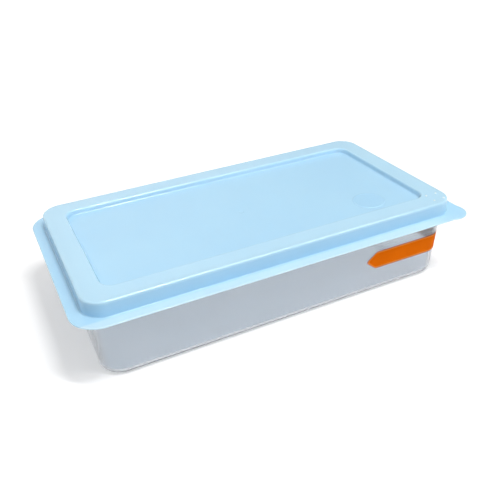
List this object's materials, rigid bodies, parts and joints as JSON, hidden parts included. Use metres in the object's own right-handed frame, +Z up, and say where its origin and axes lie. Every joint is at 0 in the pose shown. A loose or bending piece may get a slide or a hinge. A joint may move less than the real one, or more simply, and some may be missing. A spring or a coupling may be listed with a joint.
{
  "type": "food container",
  "caption": "Oblong clear plastic food tub with rounded corners and a pale blue snap lid that has a sunk panel, a flange and a corner pull tab.",
  "frame": {"origin": "centre of the tub's foot, on the surface that the container stands on", "axes": "+X along the length towards the end with the pull tab, -Y towards the long side with the wrap label, +Z up"},
  "size_m": [0.2562, 0.1392, 0.0543],
  "materials": {
    "clear_plastic": "clear, glossy",
    "blue_plastic": "pale blue, satin",
    "orange_film": "printed film, satin"
  },
  "bodies": {
    "tub": {"tub": "clear_plastic", "label": "orange_film"},
    "lid": {"lid": "blue_plastic"}
  },
  "joints": [
    {"name": "lid_lift", "type": "slide", "parent": "tub", "child": "lid", "axis": [0, 0, 1], "range_m": [0, 0.08]}
  ]
}
